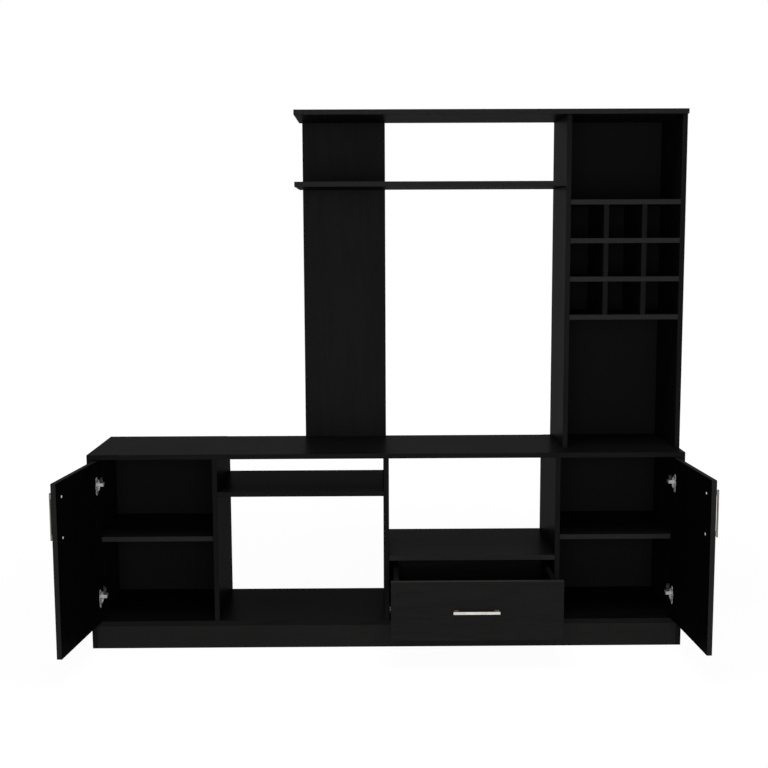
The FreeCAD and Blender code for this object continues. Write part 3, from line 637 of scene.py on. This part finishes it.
def shelf_peg():
    """A steel peg with a thin collar; the origin is at the board's face."""
    names = ("Radius", "Reach", "Socket", "Collar Radius", "Collar")
    tree = Build("shelf_peg", names)
    radius, reach, socket, ring, thick = (tree.size(name) for name in names)
    body = tree.crowned(
        tree.round_bar(PEG_FLATS, radius, -1.0 * socket, reach, rings=4), radius, reach * 0.9, radius * 0.3)
    collar = tree.round_bar(PEG_FLATS, ring, 0.0, thick)
    return tree.end(tree.joined(body, collar))


SCREW = cross_screw()
CAM = cam_disc()
PEG = shelf_peg()
HINGE_SCREW = {
    "Head Radius": 3.5, "Head Height": 1.5, "Crown": 0.7, "Recess Reach": 1.9, "Recess Width": 0.75,
    "Recess Depth": 0.9, "Shank Radius": 1.72, "Shank Length": 10.9}
HANDLE_SCREW = {
    "Head Radius": 4.0, "Head Height": 2.2, "Crown": 1.9, "Recess Reach": 1.9, "Recess Width": 0.8,
    "Recess Depth": 1.1, "Shank Radius": 1.95, "Shank Length": 24.5}
JOINT_SCREW = {
    "Head Radius": 4.95, "Head Height": 3.0, "Crown": 0.1, "Recess Reach": 3.0, "Recess Width": 1.2,
    "Recess Depth": 1.8, "Shank Radius": 3.4, "Shank Length": 46.8}
ADJUSTER = {
    "Head Radius": 3.2, "Head Height": 1.3, "Crown": 0.3, "Recess Reach": 2.0, "Recess Width": 0.8,
    "Recess Depth": 0.8, "Shank Radius": 2.0, "Shank Length": 4.0}
RUNNER_SCREW = {
    "Head Radius": 3.2, "Head Height": 0.9, "Crown": 0.4, "Recess Reach": 1.8, "Recess Width": 0.7,
    "Recess Depth": 0.5, "Shank Radius": 1.6, "Shank Length": 9.0}
CAM_DRUM = {
    "Radius": 7.3, "Depth": 11.9, "Recess Reach": 3.4, "Recess Width": 1.5, "Recess Depth": 3.0,
    "Mark": 1.3}
SHELF_PEG = {"Radius": 2.48, "Reach": 9, "Socket": 8.9, "Collar Radius": 3.8, "Collar": 0.8}
TURN_STEP = math.radians(37)
SAME_LEVEL = 0.02 * MM
CUPBOARD_MIDDLE = 0.705


def twisted(pairs, step=TURN_STEP):
    """Puts (spot, aim) pairs in order and gives each a turn, so that neighbouring recesses differ."""
    ordered = sorted(pairs, key=lambda pair: tuple(round(value, 5) for value in pair[0]))
    return [(spot, aim, index * step) for index, (spot, aim) in enumerate(ordered)]


def seats(name, aim, sizes):
    """Where the heads of a node's screws start, for screws that all lie along one aim."""
    aim = Vector(aim).normalized()
    back = sizes["Head Height"] * MM
    pairs = []
    for corners in node_solids(name):
        far = max(corner.dot(aim) for corner in corners)
        cap = [corner for corner in corners if corner.dot(aim) > far - SAME_LEVEL]
        middle = sum(cap, Vector()) / len(cap)
        pairs.append((middle - aim * back, aim))
    return twisted(pairs)


def aimed_seats(name, sizes):
    """The same for screws that lie along different axes: the wide end of each is its head."""
    back = sizes["Head Height"] * MM
    pairs = []
    for corners in node_solids(name):
        low, high = extent(corners)
        size = high - low
        axis = max(range(3), key=lambda place: size[place])
        across = (axis + 1) % 3
        ends = []
        for sign, level in ((-1, low[axis]), (1, high[axis])):
            cap = [corner[across] for corner in corners if abs(corner[axis] - level) < SAME_LEVEL]
            ends.append((max(cap) - min(cap), sign))
        sign = max(ends)[1]
        aim = Vector([sign if place == axis else 0 for place in range(3)])
        middle = (low + high) / 2
        middle[axis] = high[axis] if sign > 0 else low[axis]
        pairs.append((middle - aim * back, aim))
    return twisted(pairs)


def screw_set(name, node, spots, finish, sizes):
    stand_for(SCREW.run(name, spots, finish, sizes), "hardware_steel", node)


for side, angle in DOOR_TURN.items():
    inward = Matrix.Rotation(angle, 3, "Z") @ Vector((0, 1, 0))
    node = f"{side}_cup_screws"
    screw_set(f"{side}_cup_cross_screws", node, seats(node, inward, HINGE_SCREW), HINGE_STEEL_SHADED, HINGE_SCREW)
    node = f"{side}_handle_screws"
    screw_set(f"{side}_handle_cross_screws", node, seats(node, inward, HANDLE_SCREW), STEEL, HANDLE_SCREW)
node = "drawer_handle_screws"
screw_set("drawer_handle_cross_screws", node, seats(node, (0, 1, 0), HANDLE_SCREW), STEEL, HANDLE_SCREW)
node = "hinge_plate_screws"
screw_set("hinge_plate_cross_screws", node, aimed_seats(node, HINGE_SCREW), PLATE_STEEL_DEEP_SHADE, HINGE_SCREW)
node = "hutch_screws"
screw_set("hutch_joint_screws", node, aimed_seats(node, JOINT_SCREW), STEEL, JOINT_SCREW)


def cam_spots():
    """Each cam's open face: under the shelves, and on the side that it leans to in the uprights."""
    names = ("base_left_side", "left_partition", "centre_partition", "right_partition", "base_right_side")
    uprights = [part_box(name) for name in names]
    pairs = []
    for corners in node_solids("cam_locks"):
        low, high = extent(corners)
        middle = (low + high) / 2
        if high.z - low.z < high.x - low.x:
            pairs.append((Vector((middle.x, middle.y, low.z)), Vector((0, 0, -1))))
            continue
        board_low, board_high = next(box for box in uprights if box[0].x < middle.x < box[1].x)
        leans_right = middle.x > (board_low.x + board_high.x) / 2
        face = high.x if leans_right else low.x
        pairs.append((Vector((face, middle.y, middle.z)), Vector((1 if leans_right else -1, 0, 0))))
    return twisted(pairs)


def peg_spots():
    """Each shelf peg at the face of the board that holds it, aimed into its cupboard."""
    pairs = []
    for corners in node_solids("shelf_pins"):
        low, high = extent(corners)
        middle = (low + high) / 2
        centre = CUPBOARD_MIDDLE if middle.x > 0 else -CUPBOARD_MIDDLE
        pairs.append((middle, Vector((1 if middle.x < centre else -1, 0, 0))))
    return twisted(pairs, step=0)


stand_for(CAM.run("cam_drums", cam_spots(), STEEL, CAM_DRUM), "hardware_steel", "cam_locks")
stand_for(PEG.run("shelf_pegs", peg_spots(), STEEL, SHELF_PEG), "hardware_steel", "shelf_pins")


# Rollers: turned wheels with a hub and a rounded tread

WHEEL_STEPS = 40
WHEEL_BORE = 2.6 * MM
# Half of the wheel's section, outward from its bore: shares of the half width and of the radius.
WHEEL_SECTION = (
    (1.0, 0.45), (0.72, 0.52), (0.72, 0.8), (1.0, 0.86), (1.0, 0.95), (0.85, 1.0))


def add_wheel(shape, middle, profile):
    """A wheel about X, from a profile of (across, radius) pairs that closes on itself."""
    rings = []
    for step in range(WHEEL_STEPS):
        angle = 2 * math.pi * step / WHEEL_STEPS
        rings.append([
            shape.verts.new(middle + Vector((across, radius * math.cos(angle), radius * math.sin(angle))))
            for across, radius in profile])
    for step in range(WHEEL_STEPS):
        first, second = rings[step], rings[(step + 1) % WHEEL_STEPS]
        for place in range(len(profile)):
            after = (place + 1) % len(profile)
            shape.faces.new((first[place], first[after], second[after], second[place]))


def roller_piece(name, node):
    shape = bmesh.new()
    for corners in node_solids(node):
        low, high = extent(corners)
        half = (high.x - low.x) / 2
        radius = (high.z - low.z) / 2
        right = [(half, WHEEL_BORE)]
        right += [(half * across, radius * out) for across, out in WHEEL_SECTION]
        left = [(-across, out) for across, out in reversed(right)]
        add_wheel(shape, (low + high) / 2, right + left)
    bmesh.ops.recalc_face_normals(shape, faces=shape.faces)
    stand_for(finished(name, shape, NYLON, smooth=25), "roller_plastic", node)


roller_piece("bay_wheels", "bay_rollers")
roller_piece("drawer_wheels", "drawer_rollers")


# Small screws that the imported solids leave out

# Where a hinge arm's hook ends and its channel starts, along Y.
HOOK_END = -0.13
ADJUSTER_SETBACKS = (9 * MM, 34 * MM)
RUNNER_STEEL = 1.2 * MM
CHANNEL_STEPS = (45 * MM, 150 * MM, 255 * MM)
RAIL_STEPS = (30 * MM, 130 * MM, 240 * MM)


def extra_screws(name, pairs, body, finish, sizes):
    piece = SCREW.run(name, twisted(pairs), finish, sizes)
    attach(piece, body)


def adjuster_pairs():
    """Two screws in each hinge arm's channel, which lies behind the end of its hook."""
    pairs = []
    for corners in node_solids("hinge_arms"):
        low, high = extent(corners)
        sign = 1 if corners[0].x < 0 else -1
        face = max(sign * corner.x for corner in corners if corner.y > HOOK_END) * sign
        for setback in ADJUSTER_SETBACKS:
            pairs.append((Vector((face, high.y - setback, (low.z + high.z) / 2)), Vector((sign, 0, 0))))
    return pairs


def runner_pairs(front, steps, faces):
    """Screws through the webs of both runners, from faces of (x, aim along x)."""
    z = sum(value.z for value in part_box("bay_rollers")) / 2
    return [(Vector((x, front + step, z)), Vector((way, 0, 0))) for x, way in faces for step in steps]


wall_low, wall_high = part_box("bay_runners")
side_low, side_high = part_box("drawer_left_side")[0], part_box("drawer_right_side")[1]
channels = runner_pairs(
    wall_low.y, CHANNEL_STEPS, ((wall_low.x + RUNNER_STEEL, 1), (wall_high.x - RUNNER_STEEL, -1)))
rails = runner_pairs(
    side_low.y, RAIL_STEPS, ((side_low.x - RUNNER_STEEL, -1), (side_high.x + RUNNER_STEEL, 1)))
extra_screws("hinge_adjusting_screws", adjuster_pairs(), "cabinet", HINGE_STEEL_SHADED, ADJUSTER)
extra_screws("bay_runner_screws", channels, "cabinet", STEEL, RUNNER_SCREW)
extra_screws("drawer_runner_screws", rails, "drawer", STEEL, RUNNER_SCREW)


# Camera: the photograph's place and angle

FOCAL, SENSOR = 56.3607, 36.0
SPOT = Vector((-0.0320950, -3.7285662, 1.2485620))
YAW, PITCH, ROLL = 0.00726097, -0.12234942, 0.00398165
forward = Vector((math.sin(YAW) * math.cos(PITCH), math.cos(YAW) * math.cos(PITCH), math.sin(PITCH)))
level = Vector((math.cos(YAW), -math.sin(YAW), 0))
below = forward.cross(level)
right = math.cos(ROLL) * level + math.sin(ROLL) * below
down = math.cos(ROLL) * below - math.sin(ROLL) * level
lens = bpy.data.cameras.new("camera")
lens.lens = FOCAL
lens.sensor_width = SENSOR
camera = bpy.data.objects.new("camera", lens)
camera.matrix_world = Matrix((
    (right.x, -down.x, -forward.x, SPOT.x), (right.y, -down.y, -forward.y, SPOT.y),
    (right.z, -down.z, -forward.z, SPOT.z), (0, 0, 0, 1)))
scene.collection.objects.link(camera)
scene.camera = camera


# Floor, world and lamps

WHITE = (1, 1, 1, 1)
FLOOR_HALF = 14
FLOOR_DROP = 0.4 * MM
FLOOR_SHADE, SHADE_NEAR, SHADE_FAR = 0.07, 1.3, 3.2
FLOOR_GLOW = 1.035
AMBIENT = 0.04


def seen_directly(graph):
    """1 for rays that show the surroundings themselves, on a lens, in a gloss or through glass."""
    path = graph.node("ShaderNodeLightPath")
    return path.out("Is Camera Ray").most(path.out("Is Glossy Ray")).most(path.out("Is Transmission Ray"))


def paper_floor(name):
    """White paper that glows like the backdrop, and near the unit keeps a share of its shadow."""
    paper = Finish(name)
    reach = paper.node("ShaderNodeVectorMath", {"operation": "LENGTH"}, {0: paper.place()}, "Value")
    shade = paper.span(reach, SHADE_NEAR, SHADE_FAR, FLOOR_SHADE, 0.0)
    tooth = paper.noise(paper.place(), scale=260.0, detail=3.0)
    matt = paper.node("ShaderNodeBsdfDiffuse", None, {
        "Color": paper.blend(tooth, (0.86, 0.86, 0.86), (0.9, 0.9, 0.9))})
    glow = paper.node("ShaderNodeEmission", None, {"Color": WHITE, "Strength": FLOOR_GLOW})
    lit = seen_directly(paper) * (1.0 - shade)
    return paper.done(paper.node("ShaderNodeMixShader", None, {0: lit, 1: matt, 2: glow}))


ground = bmesh.new()
bmesh.ops.create_grid(ground, x_segments=1, y_segments=1, size=FLOOR_HALF)
floor = finished("paper_floor", ground, paper_floor("white_paper_floor"))
floor.location.z = -FLOOR_DROP

world = bpy.data.worlds.new("studio")
scene.world = world
world.use_nodes = True
sky = Graph(world.node_tree)
sky.tree.nodes.clear()
strength = seen_directly(sky) * (1.0 - AMBIENT) + AMBIENT
backdrop = sky.node("ShaderNodeBackground", None, {"Color": WHITE, "Strength": strength})
sky.node("ShaderNodeOutputWorld", None, {"Surface": backdrop})


def softbox(name, spot, target, width, height, power):
    """A lamp that no gloss shows; the white surroundings are what the gloss shows."""
    lamp = bpy.data.lights.new(name, "AREA")
    lamp.shape = "RECTANGLE"
    lamp.size = width
    lamp.size_y = height
    lamp.energy = power
    holder = bpy.data.objects.new(name, lamp)
    holder.location = spot
    holder.rotation_euler = (Vector(target) - Vector(spot)).to_track_quat("-Z", "Y").to_euler()
    holder.visible_glossy = False
    scene.collection.objects.link(holder)


softbox("front_softbox", spot=(0, -5.0, 1.2), target=(0, 0, 0.8), width=2.4, height=1.8, power=110)
softbox("near_softbox", spot=(0.3, -3.1, 0.7), target=(0, 0, 0.6), width=2.4, height=1.2, power=26)
softbox("top_softbox", spot=(0, -1.2, 4.2), target=(0, 0, 0.8), width=2.4, height=1.8, power=92)

scene.view_settings.view_transform = "Standard"
